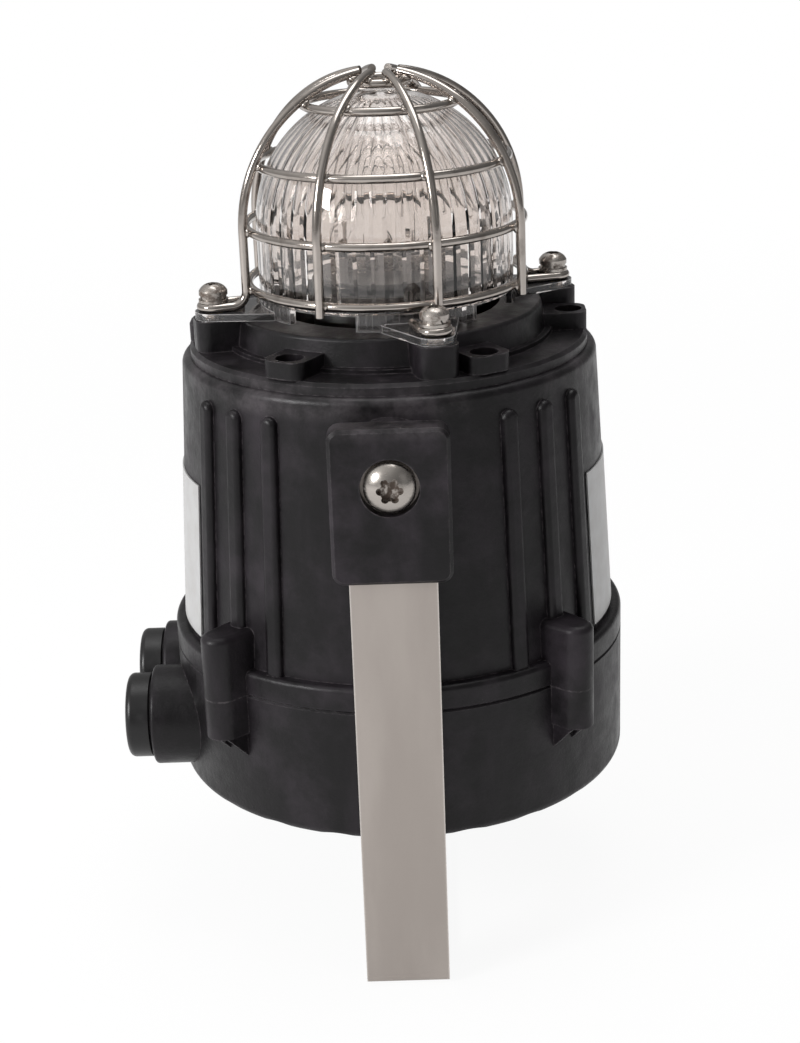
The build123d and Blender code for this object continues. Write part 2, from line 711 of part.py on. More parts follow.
def make_tube():
    """A U-shaped flash tube."""
    half = tube_spacing / 2
    bend_z = lamp_top_z + tube_height - half
    foot_z = lamp_top_z - tube_seat + 1
    path = Wire([
        Line((-half, 0, foot_z), (-half, 0, bend_z)),
        ThreePointArc((-half, 0, bend_z), (0, 0, bend_z + half), (half, 0, bend_z)),
        Line((half, 0, bend_z), (half, 0, foot_z)),
    ])
    return sweep(Plane(origin=path @ 0, z_dir=path % 0) * Circle(tube_bore_radius), path=path)


def make_tube_caps():
    """The metal ferrules at the feet of the flash tube."""
    cap = disc(tube_bore_radius + 1, tube_cap_height, lamp_top_z - tube_seat)
    cap -= disc(tube_bore_radius, tube_cap_height, lamp_top_z - tube_seat + 1)
    return [Pos(side * tube_spacing / 2, 0, 0) * cap for side in (-1, 1)]


def pillar_angles():
    return [45 + 90 * k for k in range(4)]


def make_board(radius, z):
    board = disc(radius, board_thickness, z)
    for angle in pillar_angles():
        board -= spoke(angle, pillar_circle, z) * Cylinder(board_screw_radius + fit_gap, 4 * board_thickness)
    return board


def make_pillars(bottom, top):
    pillar = extrude(RegularPolygon(pillar_radius, 6), top - bottom) - disc(board_screw_radius, top - bottom)
    return [spoke(angle, pillar_circle, bottom) * pillar for angle in pillar_angles()]


def make_board_screws():
    length = deck_bottom_z - power_board_z + pillar_thread
    screw = Rot(180, 0, 0) * socket_screw(2 * board_screw_radius, length, 5.5, 3.0)
    return [spoke(angle, pillar_circle, power_board_z) * screw for angle in pillar_angles()]


def make_capacitor():
    can = disc(capacitor_radius, capacitor_height)
    can = fillet(can.edges().group_by(Axis.Z)[-1], 1.0)
    groove = ring(capacitor_radius + 1, capacitor_radius - 0.6, 1.4, 2.4)
    return can - groove


def make_transformer_core():
    """An E and I core stack that hangs under the power board."""
    frame = Rectangle(choke_length, choke_height)
    window = (choke_length - 4 * core_leg) / 2
    for side in (-1, 1):
        frame -= Pos(side * (core_leg + window / 2), 0) * Rectangle(window, choke_height - 2 * core_leg)
    core = extrude(Plane.XZ * frame, choke_width / 4, both=True)
    return Pos(0, 0, power_board_z - choke_height / 2) * core


def make_transformer_winding():
    window = (choke_length - 4 * core_leg) / 2
    outer = Rectangle(2 * core_leg + 2 * window - fit_gap, choke_width)
    coil = fillet(outer.vertices(), 4) - Rectangle(2 * core_leg + fit_gap, choke_width / 2 + fit_gap)
    height = choke_height - 2 * core_leg - 2 * fit_gap
    return Pos(0, 0, power_board_z - choke_height / 2 - height / 2) * extrude(coil, height)


def make_terminal_block():
    """A stepped moulded block with one screw well for each terminal."""
    half = terminal_block_width / 2
    section = make_face(Polyline((-half, 0), (half, 0), (half, terminal_block_height * 0.55),
                                 (half * 0.45, terminal_block_height * 0.55), (half * 0.45, terminal_block_height),
                                 (-half * 0.45, terminal_block_height), (-half * 0.45, terminal_block_height * 0.55),
                                 (-half, terminal_block_height * 0.55), close=True))
    block = extrude(Plane.XZ * section, terminal_block_length / 2, both=True)
    for place in terminal_places():
        block -= place * Pos(0, 0, -terminal_screw_depth) * disc(terminal_screw_radius + fit_gap, 2 * terminal_screw_depth)
    for y in (-terminal_post_y, terminal_post_y):
        block -= Pos(0, y, 0) * disc(1.5 + fit_gap, 2 * terminal_block_height)
    return Pos(0, 0, terminal_z) * block


def terminal_places():
    pitch = terminal_block_length / (terminal_count + 2)
    step_z = terminal_block_height * 0.55
    places = []
    for k in range(terminal_count):
        for side in (-1, 1):
            places.append(Pos(side * terminal_block_width * 0.36, (k - (terminal_count - 1) / 2) * pitch, step_z))
    return places


def make_terminal_screws():
    screw = disc(terminal_screw_radius, terminal_screw_depth, -terminal_screw_depth)
    screw -= Box(4 * terminal_screw_radius, 0.6, 1.0)
    return [Pos(0, 0, terminal_z) * place * screw for place in terminal_places()]


def make_block_screws():
    screw = socket_screw(3, terminal_block_height + 3, 5.5, 3.0)
    return [Pos(0, y, terminal_z + terminal_block_height) * screw for y in (-terminal_post_y, terminal_post_y)]


lug_screw_length = joint_z - lug_seat_z + lug_grip
lug_screw = Rot(180, 0, 0) * socket_screw(lug_screw_diameter, lug_screw_length, lug_head_diameter, lug_head_height)
ring_screw = socket_screw(ring_screw_diameter, ring_seat_z - deck_bottom_z, ring_head_diameter, ring_head_height)
guard_head_z = guard_washer_z + m5_washer_thickness + m5_spring_thickness
guard_screw = domed_screw(m5_diameter, guard_head_z - collar_top_z + m5_thread_depth, m5_head_diameter, m5_head_height)
spring_washer = ring(m5_spring_diameter / 2, m5_diameter / 2 + fit_gap, m5_spring_thickness)
spring_washer -= Rot(0, 0, 20) * Pos(m5_diameter / 2 + 1, 0, 0) * Rot(25, 0, 0) * Box(m5_diameter, 0.5, 6)
flat_washer = ring(m5_washer_diameter / 2, m5_diameter / 2 + fit_gap, m5_washer_thickness)
guard_insert = ring(insert_radius, m5_diameter / 2, insert_depth)
pivot_cap = make_pivot_cap()
ratchet_disc = make_ratchet_disc()
pivot_washer = make_pivot_washer()
pivot_screw = make_pivot_screw()
pivot_insert = make_pivot_insert()
plug = make_plug()
plug_seal = ring(plug_head_radius - 1.4, entry_thread_radius, plug_seal_thickness)
capacitor = make_capacitor()

nodes = {
    "stirrup_bracket": make_stirrup(),
    "pivot_cap_front": pivot_cap,
    "pivot_cap_rear": rear_copy(pivot_cap),
    "pivot_washers": [pivot_washer, rear_copy(pivot_washer)],
    "pivot_screws": [pivot_screw, rear_copy(pivot_screw)],
    "pivot_inserts": [pivot_insert, rear_copy(pivot_insert)],
    "ratchet_disc_front": ratchet_disc,
    "ratchet_disc_rear": rear_copy(ratchet_disc),
    "housing_body": make_housing(),
    "base_enclosure": make_base(),
    "joint_seal": make_joint_seal(),
    "lug_screws": [spoke(angle, lug_axis_radius, lug_seat_z) * lug_screw for angle in lug_places()],
    "top_ring": make_top_ring(),
    "ring_screws": [spoke(angle, ring_screw_radius, ring_seat_z) * ring_screw for angle in ring_screw_angles()],
    "glass_dome": make_glass_dome(),
    "dome_gasket": make_dome_gasket(),
    "lens_cover": make_lens(),
    "wire_guard": make_guard(),
    "guard_screws": guard_stack(guard_screw, guard_head_z),
    "guard_spring_washers": guard_stack(spring_washer, guard_head_z - m5_spring_thickness),
    "guard_flat_washers": guard_stack(flat_washer, guard_washer_z),
    "guard_inserts": guard_stack(guard_insert, collar_top_z - insert_depth),
    "stopping_plug_front": entry_place(-1, plug_seal_thickness) * plug,
    "stopping_plug_rear": entry_place(1, plug_seal_thickness) * plug,
    "plug_seals": [entry_place(side) * plug_seal for side in (-1, 1)],
    "side_plate_left": make_plate(-90),
    "side_plate_right": make_plate(90),
    "lamp_base": make_lamp_base(),
    "xenon_tube": make_tube(),
    "tube_ferrules": make_tube_caps(),
    "trigger_board": make_board(trigger_board_radius, trigger_board_z),
    "power_board": make_board(power_board_radius, power_board_z),
    "upper_pillars": make_pillars(trigger_board_z + board_thickness, deck_bottom_z),
    "lower_pillars": make_pillars(power_board_z + board_thickness, trigger_board_z),
    "board_screws": make_board_screws(),
    "storage_capacitors": [spoke(120 * k, capacitor_circle, power_board_z + board_thickness) * capacitor for k in range(3)],
    "transformer_core": make_transformer_core(),
    "transformer_winding": make_transformer_winding(),
    "terminal_block": make_terminal_block(),
    "terminal_screws": make_terminal_screws(),
    "block_screws": make_block_screws(),
}

for name, shape in nodes.items():
    solid = Compound(children=shape) if isinstance(shape, list) else shape
    export_step(solid, f"parts/{name}.step")
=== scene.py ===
import math
import bmesh
import bpy
from mathutils import Matrix, Vector


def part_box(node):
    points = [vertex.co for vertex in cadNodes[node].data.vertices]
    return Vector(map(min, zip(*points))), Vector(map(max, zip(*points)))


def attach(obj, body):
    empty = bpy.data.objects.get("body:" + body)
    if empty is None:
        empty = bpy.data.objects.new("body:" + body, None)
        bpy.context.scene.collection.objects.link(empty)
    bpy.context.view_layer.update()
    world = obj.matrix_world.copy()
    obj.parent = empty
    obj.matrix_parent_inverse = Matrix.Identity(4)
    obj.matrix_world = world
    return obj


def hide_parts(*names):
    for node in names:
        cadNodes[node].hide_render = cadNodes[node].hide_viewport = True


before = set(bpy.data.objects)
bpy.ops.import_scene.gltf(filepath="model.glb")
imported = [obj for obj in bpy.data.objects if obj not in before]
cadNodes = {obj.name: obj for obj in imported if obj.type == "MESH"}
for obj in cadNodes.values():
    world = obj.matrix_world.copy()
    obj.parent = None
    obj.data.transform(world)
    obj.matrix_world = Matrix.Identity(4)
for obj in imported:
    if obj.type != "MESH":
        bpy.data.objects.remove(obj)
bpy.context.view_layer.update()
mm = 0.001
print("frame loaded:", len(cadNodes), "nodes")


class Flow:  # a number socket; sums on it become Math nodes
    def __init__(self, paint, socket):
        self.paint = paint
        self.socket = socket

    def sum(self, operation, first, second):
        return self.paint.add("ShaderNodeMath", {"operation": operation}, {0: first, 1: second})

    def __add__(self, other):
        return self.sum("ADD", self, other)

    def __radd__(self, other):
        return self.sum("ADD", other, self)

    def __sub__(self, other):
        return self.sum("SUBTRACT", self, other)

    def __rsub__(self, other):
        return self.sum("SUBTRACT", other, self)

    def __mul__(self, other):
        return self.sum("MULTIPLY", self, other)

    def __rmul__(self, other):
        return self.sum("MULTIPLY", other, self)

    def __pow__(self, other):
        return self.sum("POWER", self, other)


class Paint:  # one material, or the world, and the few things every finish needs
    def __init__(self, owner, space="Object"):
        self.owner = owner
        owner.use_nodes = True
        self.tree = owner.node_tree
        self.tree.nodes.clear()
        self.place = self.add("ShaderNodeTexCoord", out=space)

    def add(self, kind, settings=None, links=None, out=0):
        node = self.tree.nodes.new(kind)
        for key, value in (settings or {}).items():
            setattr(node, key, value)
        for key, value in (links or {}).items():
            if isinstance(value, Flow):
                self.tree.links.new(value.socket, node.inputs[key])
            else:
                node.inputs[key].default_value = value
        return Flow(self, node.outputs[out])

    def axis(self, letter):
        return self.add("ShaderNodeSeparateXYZ", None, {0: self.place}, letter)

    def stretched(self, scale):  # the place, scaled along each axis
        return self.add("ShaderNodeMapping", None, {"Vector": self.place, "Scale": scale}, "Vector")

    def noise(self, scale, detail=3.0, rough=0.55, where=None):
        links = {"Vector": where or self.place, "Scale": scale, "Detail": detail, "Roughness": rough}
        return self.add("ShaderNodeTexNoise", None, links, "Fac")

    def span(self, value, low, high, toLow=0.0, toHigh=1.0):  # smooth step from low to high
        links = {"Value": value, "From Min": low, "From Max": high, "To Min": toLow, "To Max": toHigh}
        return self.add("ShaderNodeMapRange", {"interpolation_type": "SMOOTHSTEP"}, links, "Result")

    def blendColour(self, factor, first, second):
        return self.add("ShaderNodeMix", {"data_type": "RGBA"}, {0: factor, 6: first, 7: second}, 2)

    def edges(self, radius, low, high):  # 1 on worn edges, 0 on flats
        rounded = self.add("ShaderNodeBevel", {"samples": 6}, {"Radius": radius}, "Normal")
        flat = self.add("ShaderNodeNewGeometry", None, None, "Normal")
        along = self.add("ShaderNodeVectorMath", {"operation": "DOT_PRODUCT"}, {0: rounded, 1: flat}, "Value")
        return self.span(along, high, low)

    def bump(self, height, distance, strength):
        links = {"Height": height, "Distance": distance, "Strength": strength}
        return self.add("ShaderNodeBump", None, links, "Normal")

    def mixShaders(self, factor, first, second):
        return self.add("ShaderNodeMixShader", None, {0: factor, 1: first, 2: second})

    def ray(self, kind):  # 1 on rays of this kind
        return self.add("ShaderNodeLightPath", None, None, f"Is {kind} Ray")

    def finish(self, shader, kind="ShaderNodeOutputMaterial"):
        end = self.tree.nodes.new(kind)
        self.tree.links.new(shader.socket, end.inputs["Surface"])
        return self.owner

    def shader(self, **links):  # the main shader, its sockets under shorter names
        names = {"colour": "Base Color", "rough": "Roughness", "metal": "Metallic", "bump": "Normal",
                 "coat": "Coat Weight", "clear": "Transmission Weight", "ior": "IOR",
                 "specular": "Specular IOR Level"}
        return self.add("ShaderNodeBsdfPrincipled", None, {names[key]: value for key, value in links.items()})

    def surface(self, **links):  # a whole finish made of that shader alone
        return self.finish(self.shader(**links))


def rgb(red, green, blue):  # 0-255 as seen on screen, turned to light values
    def light(value):
        value = value / 255
        return value / 12.92 if value <= 0.04045 else ((value + 0.055) / 1.055) ** 2.4
    return (light(red), light(green), light(blue), 1.0)


# finishes: scales are per metre, heights in metres

moulding = {
    "deep": rgb(11, 9, 11), "bloom": rgb(54, 48, 54), "worn": rgb(112, 106, 109),
    "clouds": 38.0, "smears": 22.0, "smearShape": (2.4, 2.4, 0.55), "specks": 420.0, "sheen": 130.0,
    "grain": 900.0, "pores": 240.0, "grainHeight": 0.00016, "gloss": 0.25,
    "edge": 0.0010, "edgeWear": 0.5, "rubWear": 0.26,
    "rubLow": (0.1935, 0.1985), "rubHigh": (0.2075, 0.2035),  # where the rubbed band fades in and out
}


def paintMoulding(name, bloomShare=0.55):  # black glass-filled plastic, bloomed and worn at its edges
    paint = Paint(bpy.data.materials.new(name))
    clouds = paint.noise(moulding["clouds"], 6.0, 0.62)
    smears = paint.noise(moulding["smears"], 4.0, 0.6, paint.stretched(moulding["smearShape"]))
    specks = paint.noise(moulding["specks"], 4.0, 0.7)
    bloom = paint.span(clouds, 0.42, 0.74) * bloomShare + paint.span(smears, 0.46, 0.8) * 0.35
    worn = paint.edges(moulding["edge"], 0.80, 0.985) * paint.span(specks, 0.40, 0.66, 0.15, 1.0)
    height = paint.axis("Z")
    rubbed = paint.span(height, *moulding["rubLow"]) * paint.span(height, *moulding["rubHigh"])
    rubbed = rubbed * paint.span(clouds, 0.36, 0.62) * paint.span(specks, 0.3, 0.6, 0.5, 1.0)
    wear = worn * moulding["edgeWear"] + rubbed * moulding["rubWear"]
    colour = paint.blendColour(bloom, moulding["deep"], moulding["bloom"])
    colour = paint.blendColour(wear, colour, moulding["worn"])
    sheen = paint.span(paint.noise(moulding["sheen"], 5.0, 0.65), 0.3, 0.7)
    grain = paint.noise(moulding["grain"], 4.0, 0.7) + paint.noise(moulding["pores"], 4.0, 0.6) * 1.6
    return paint.surface(
        colour=colour, rough=0.30 + bloom * 0.24 + sheen * 0.14, specular=moulding["gloss"],
        bump=paint.bump(grain, moulding["grainHeight"], 0.55))


nylon = {
    "deep": rgb(12, 11, 12), "dust": rgb(52, 50, 52), "clouds": 60.0, "grain": 500.0, "grainHeight": 0.00004,
    "gloss": 0.4, "edge": 0.0008,
}


def paintNylon(name):
    paint = Paint(bpy.data.materials.new(name))
    dust = paint.span(paint.noise(nylon["clouds"], 5.0, 0.65), 0.5, 0.82)
    worn = paint.edges(nylon["edge"], 0.82, 0.99)
    colour = paint.blendColour(dust * 0.35 + worn * 0.4, nylon["deep"], nylon["dust"])
    return paint.surface(
        colour=colour, rough=0.33 + dust * 0.2 + paint.noise(300.0) * 0.06, specular=nylon["gloss"],
        bump=paint.bump(paint.noise(nylon["grain"]), nylon["grainHeight"], 0.4))


strip = {
    "steel": rgb(178, 170, 164), "dull": rgb(168, 160, 154), "paintedEdgeHighlight": rgb(238, 233, 228),
    "grain": 1500.0, "grainHeight": 0.00003, "patches": 26.0, "patchShape": (1.5, 1.5, 0.35),
    "specks": 420.0, "edge": 0.0011,
}


def paintStrip(name):  # blasted stainless strip, its edges lightened as a painted highlight
    paint = Paint(bpy.data.materials.new(name))
    blast = paint.noise(strip["grain"], 3.0, 0.65)
    patches = paint.noise(strip["patches"], 4.0, 0.55, paint.stretched(strip["patchShape"]))
    specks = paint.span(paint.noise(strip["specks"], 4.0, 0.7), 0.60, 0.78)
    edges = paint.edges(strip["edge"], 0.80, 0.985)
    colour = paint.blendColour(paint.span(patches, 0.35, 0.7), strip["steel"], strip["dull"])
    colour = paint.blendColour(specks * 0.35, colour, strip["dull"])
    # painted highlight: the edges are mixed towards near white, standing in for light caught on rounded edges
    colour = paint.blendColour(edges * 0.8, colour, strip["paintedEdgeHighlight"])
    return paint.surface(
        colour=colour, metal=1.0, rough=0.40 + patches * 0.12 + blast * 0.06,
        bump=paint.bump(blast, strip["grainHeight"], 0.5))


wireSteel = {
    "bright": rgb(172, 165, 159), "tint": rgb(86, 75, 67), "stains": 90.0,
    "pits": 700.0, "pitHeight": 0.00003,
}


def paintWire(name):
    paint = Paint(bpy.data.materials.new(name))
    stain = paint.span(paint.noise(wireSteel["stains"], 5.0, 0.6), 0.48, 0.8)
    pits = paint.noise(wireSteel["pits"], 3.0, 0.6)
    colour = paint.blendColour(stain * 0.6, wireSteel["bright"], wireSteel["tint"])
    return paint.surface(
        colour=colour, metal=1.0, rough=0.10 + stain * 0.14 + pits * 0.07,
        bump=paint.bump(pits, wireSteel["pitHeight"], 0.5))


fixing = {
    "bright": rgb(170, 164, 158), "dirt": rgb(70, 51, 37), "grime": 260.0, "turning": 900.0,
    "turnHeight": 0.00003, "recess": 0.0050, "recessDepth": 0.0010,
}


def paintFixing(name, dirtLevel=0.44, pivotBox=None):
    paint = Paint(bpy.data.materials.new(name))
    grime = paint.span(paint.noise(fixing["grime"], 5.0, 0.65), dirtLevel, dirtLevel + 0.2)
    if pivotBox:  # dirt lies in the recesses of the pivot screws
        low, high = pivotBox
        x, y, z = (paint.axis(letter) for letter in "XYZ")
        rise = z - (low[2] + high[2]) / 2
        away = (x * x + rise * rise) ** 0.5
        recess, depth = fixing["recess"], fixing["recessDepth"]
        sunk = paint.span((y * y) ** 0.5, high[1] - depth, high[1] - 2 * depth)
        inside = paint.span(away, recess, recess * 0.9) * sunk
        grime = grime * 0.6 + inside * paint.span(paint.noise(700.0, 3.0, 0.6), 0.36, 0.56, 0.10, 1.0)
    turned = paint.noise(fixing["turning"], 2.0, 0.5, paint.stretched((1.0, 1.0, 3.0)))
    colour = paint.blendColour(grime * 0.85, fixing["bright"], fixing["dirt"])
    return paint.surface(
        colour=colour, metal=1.0 - grime * 0.6, rough=0.20 + grime * 0.4 + turned * 0.10,
        bump=paint.bump(turned, fixing["turnHeight"], 0.4))


def paintClear(name, tint, ior, rough, waves):
    paint = Paint(bpy.data.materials.new(name))
    flow = paint.noise(waves, 2.0, 0.5)
    smudges = paint.span(paint.noise(240.0, 4.0), 0.6, 0.9)
    return paint.surface(
        colour=paint.blendColour(flow, tint, (1.0, 1.0, 1.0, 1.0)), clear=1.0, ior=ior,
        rough=rough + smudges * 0.05, bump=paint.bump(flow, 0.0002, 0.25))


lensClear = {
    "tint": rgb(243, 238, 235), "ior": 1.52, "ripple": 140.0, "rippleHeight": 0.0002,
    "milk": rgb(226, 222, 222), "milkHeights": (0.2225, 0.2215), "milkShare": 0.05,
    "edgeHighlightShare": 0.55, "edge": 0.0007,
}


def paintLens(name):  # clear plastic, a little milky in the thick ears, with a painted highlight of milky white along their edges
    paint = Paint(bpy.data.materials.new(name))
    flow = paint.noise(lensClear["ripple"], 2.0, 0.5)
    smudges = paint.span(paint.noise(240.0, 4.0), 0.6, 0.9)
    ripple = paint.bump(flow, lensClear["rippleHeight"], 0.22)
    clear = paint.shader(colour=lensClear["tint"], clear=1.0, ior=lensClear["ior"],
                         rough=0.012 + smudges * 0.05, bump=ripple)
    milk = paint.shader(colour=lensClear["milk"], rough=0.3 + flow * 0.1, bump=ripple)
    # the small even share is haze in the ears; the edge share is a painted highlight of milky white along
    # their edges
    milkAndEdgeHighlight = paint.edges(lensClear["edge"], 0.80, 0.985) * lensClear["edgeHighlightShare"] + lensClear["milkShare"]
    share = paint.span(paint.axis("Z"), *lensClear["milkHeights"]) * milkAndEdgeHighlight
    return paint.finish(paint.mixShaders(share, clear, milk))


def paintPlain(name, first, second, scale, rough, metal=0.0):
    paint = Paint(bpy.data.materials.new(name))
    cloud = paint.noise(scale, 4.0, 0.6)
    return paint.surface(
        colour=paint.blendColour(paint.span(cloud, 0.35, 0.7), first, second), metal=metal,
        rough=rough + cloud * 0.12, bump=paint.bump(paint.noise(scale * 6, 3.0), 0.00003, 0.5))


def paintBoard(name):
    paint = Paint(bpy.data.materials.new(name))
    weave = paint.add("ShaderNodeTexChecker", None, {"Vector": paint.place, "Scale": 1400.0}, "Fac")
    cloud = paint.noise(60.0, 3.0)
    colour = paint.blendColour(weave * 0.35 + cloud * 0.3, rgb(24, 70, 44), rgb(48, 108, 66))
    return paint.surface(
        colour=colour, rough=0.35 + cloud * 0.15, coat=0.3, bump=paint.bump(weave, 0.00002, 0.4))


def paintWinding(name):
    paint = Paint(bpy.data.materials.new(name))
    turns = paint.add("ShaderNodeTexWave", {"wave_type": "BANDS", "bands_direction": "Z"},
                      {"Vector": paint.place, "Scale": 260.0, "Distortion": 0.6, "Detail": 1.0}, "Fac")
    colour = paint.blendColour(turns, rgb(96, 48, 26), rgb(190, 112, 66))
    return paint.surface(
        colour=colour, metal=0.85, rough=0.34 + turns * 0.1, bump=paint.bump(turns, 0.0003, 0.8))


finishes = {
    "moulding": paintMoulding("mouldedPolyester"),
    "cap": paintMoulding("mouldedCap", 0.8),
    "nylon": paintNylon("blackNylon"),
    "strip": paintStrip("bracketSteel"),
    "wire": paintWire("guardWire"),
    "fixing": paintFixing("stainlessFixing"),
    "pivot": paintFixing("pivotScrewSteel", 0.56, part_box("pivot_screws")),
    "lens": paintLens("clearLens"),
    "glass": paintClear("clearGlass", rgb(243, 238, 234), 1.47, 0.004, 60.0),
    "tube": paintClear("flashTube", rgb(250, 250, 250), 1.46, 0.02, 200.0),
    "plate": paintPlain("barePlate", rgb(182, 182, 182), rgb(176, 175, 174), 160.0, 0.34, 0.25),
    "brass": paintPlain("brassInsert", rgb(196, 158, 84), rgb(150, 116, 58), 180.0, 0.26, 1.0),
    "rubber": paintPlain("sealRubber", rgb(26, 25, 26), rgb(44, 42, 42), 240.0, 0.62),
    "board": paintBoard("boardLaminate"),
    "can": paintPlain("capacitorCan", rgb(32, 44, 84), rgb(20, 28, 58), 120.0, 0.32),
    "core": paintPlain("coreSteel", rgb(92, 92, 96), rgb(58, 58, 62), 300.0, 0.42, 0.8),
    "winding": paintWinding("copperWinding"),
    "terminal": paintPlain("terminalPlastic", rgb(176, 176, 170), rgb(150, 150, 146), 90.0, 0.42),
}
print("finishes ready:", len(finishes))

nodeFinish = {
    "stirrup_bracket": "strip", "pivot_cap_front": "cap", "pivot_cap_rear": "cap",
    "pivot_washers": "fixing", "pivot_screws": "pivot", "pivot_inserts": "brass",
    "ratchet_disc_front": "nylon", "ratchet_disc_rear": "nylon",
    "housing_body": "moulding", "base_enclosure": "moulding", "top_ring": "moulding",
    "joint_seal": "rubber", "dome_gasket": "rubber", "plug_seals": "rubber",
    "lug_screws": "fixing", "ring_screws": "fixing", "guard_screws": "fixing",
    "guard_spring_washers": "fixing", "guard_flat_washers": "fixing", "guard_inserts": "brass",
    "glass_dome": "glass", "lens_cover": "lens", "wire_guard": "wire",
    "stopping_plug_front": "nylon", "stopping_plug_rear": "nylon", "lamp_base": "nylon",
    "side_plate_left": "plate", "side_plate_right": "plate",
    "xenon_tube": "tube", "tube_ferrules": "fixing",
    "trigger_board": "board", "power_board": "board", "upper_pillars": "brass", "lower_pillars": "brass",
    "board_screws": "fixing", "storage_capacitors": "can", "transformer_core": "core",
    "transformer_winding": "winding", "terminal_block": "terminal",
    "terminal_screws": "brass", "block_screws": "fixing",
}

smoothing = {"merge": 0.000002, "crease": 28, "weight": 80}


def dressNode(name, finish):  # new finish and smooth shading; the mesh itself stays
    piece = cadNodes[name]
    piece.data.materials.clear()
    piece.data.materials.append(finishes[finish])
    piece.data.polygons.foreach_set("use_smooth", [True] * len(piece.data.polygons))
    weld = piece.modifiers.new("weld", "WELD")
    weld.merge_threshold = smoothing["merge"]
    split = piece.modifiers.new("crease", "EDGE_SPLIT")
    split.split_angle = math.radians(smoothing["crease"])
    even = piece.modifiers.new("evenShade", "WEIGHTED_NORMAL")
    even.weight = smoothing["weight"]
    even.keep_sharp = True


def addPiece(name, data, finish):
    piece = bpy.data.objects.new(name, data)
    bpy.context.scene.collection.objects.link(piece)
    data.materials.append(finish)
    return piece


for nodeName, finishName in nodeFinish.items():
    dressNode(nodeName, finishName)
print("nodes dressed:", len(nodeFinish), "of", len(cadNodes))


# ribbed lens: the ears and windows of the CAD lens under a bell whose ribs run up over the dome, in mm

lens = {
    "radius": 43.4, "wall": 2.2, "shoulder": 245.4, "cut": 222.4, "gap": 0.02, "lip": 0.4,
    "ribs": 45, "stepsPerRib": 4, "ribDepth": 0.62, "domeShare": 0.45, "fadeOut": 10.0, "fadeIn": 22.0,
    "arcSteps": 26, "crease": 20,
}


def ribDepthAt(spot):  # how far a point of the inner wall is pushed in, full on each rib's middle line
    turn = math.degrees(math.atan2(spot.y, spot.x)) * lens["ribs"] / 360
    if abs(turn - round(turn)) > 0.1:
        return 0.0
    away = (math.hypot(spot.x, spot.y) / mm - lens["fadeOut"]) / (lens["fadeIn"] - lens["fadeOut"])
    height = max(0.0, spot.z / mm - lens["shoulder"]) / lens["radius"]
    depth = lens["ribDepth"] * (1 - (1 - lens["domeShare"]) * min(1.0, 2 * height))
    return depth * mm * max(0.0, min(1.0, away))


def lensFoot():  # a copy of the CAD lens below the cut, closed again
    mesh = bmesh.new()
    mesh.from_mesh(cadNodes["lens_cover"].data)
    bmesh.ops.remove_doubles(mesh, verts=mesh.verts, dist=smoothing["merge"])
    cut = bmesh.ops.bisect_plane(mesh, geom=mesh.verts[:] + mesh.edges[:] + mesh.faces[:], dist=0.0000001,
                                 plane_co=(0, 0, (lens["cut"] - lens["gap"]) * mm), plane_no=(0, 0, 1),
                                 clear_outer=True)
    rim = [item for item in cut["geom_cut"] if isinstance(item, bmesh.types.BMEdge)]
    bmesh.ops.triangle_fill(mesh, edges=rim, use_beauty=True)
    return mesh


def lensBell():  # two quarter rounds spun about the axis, ribs pushed out of the inner one
    outer, inner, base, lip = lens["radius"], lens["radius"] - lens["wall"], lens["shoulder"], lens["lip"]
    steps = lens["arcSteps"]
    rises = [math.pi / 2 * k / steps for k in range(steps + 1)]
    outline = [(outer - lip, lens["cut"]), (outer, lens["cut"] + lip)]
    outline += [(outer * math.cos(rise), base + outer * math.sin(rise)) for rise in rises]
    outline += [(inner * math.sin(rise), base + inner * math.cos(rise)) for rise in rises]
    outline.append((inner, lens["cut"]))
    bell = bmesh.new()
    points = [bell.verts.new((radius * mm, 0, z * mm)) for radius, z in outline]
    acrossAxis = (points[steps + 2], points[steps + 3])  # from the outer pole to the inner one
    edges = [bell.edges.new(pair) for pair in zip(points, points[1:] + points[:1]) if pair != acrossAxis]
    bmesh.ops.spin(bell, geom=points + edges, cent=(0, 0, 0), axis=(0, 0, 1), angle=2 * math.pi,
                   steps=lens["ribs"] * lens["stepsPerRib"], use_merge=True)
    bmesh.ops.remove_doubles(bell, verts=bell.verts, dist=0.00002)
    centre = Vector((0, 0, base * mm))
    middleWall = (inner + outer) / 2 * mm
    for vert in bell.verts:
        arm = vert.co - centre
        arm.z = max(0.0, arm.z)
        if arm.length < middleWall:
            vert.co -= arm.normalized() * ribDepthAt(vert.co)
    bmesh.ops.recalc_face_normals(bell, faces=bell.faces)
    return bell


def buildLens():
    data = bpy.data.meshes.new("ribbedLens")
    bell = lensBell()
    bell.to_mesh(data)
    bell.free()
    mesh = lensFoot()
    mesh.from_mesh(data)
    for face in mesh.faces:
        face.smooth = True
    mesh.to_mesh(data)
    mesh.free()
    piece = addPiece("ribbedLens", data, finishes["lens"])
    crease = piece.modifiers.new("crease", "EDGE_SPLIT")
    crease.split_angle = math.radians(lens["crease"])
    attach(piece, "beacon")
    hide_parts("lens_cover")


buildLens()
print("ribbed lens built")


# wire guard, in mm

guard = {
    "wire": 3.0, "legRadius": 49.7, "shoulder": 245.4, "legEnd": 7.0, "bite": 0.3,
    "levels": (225.7, 245.3, 266.1, 284.7), "topRing": 9.4, "lowZ": 220.9, "footBend": 5.0,
    "screwRadius": 60.0, "hook": 4.3, "hookReturn": 11.0, "angle": 15.0, "sides": 6, "smoothness": 16,
}


def arcRun(run, centre, along, across, radius, start, end):  # adds an arc to a list of Bezier points
    parts = max(1, math.ceil(abs(end - start) / 60))
    step = math.radians((end - start) / parts)
    pull = 4 / 3 * math.tan(step / 4) * radius
    for k in range(parts + 1):
        turn = math.radians(start) + k * step
        spot = centre + along * (radius * math.cos(turn)) + across * (radius * math.sin(turn))
        way = across * (pull * math.cos(turn)) - along * (pull * math.sin(turn))
        if k == 0 and run and (run[-1][0] - spot).length < 0.001:
            run[-1][2] = spot + way
            continue
        run.append([spot, spot - way, spot + way])
    return run


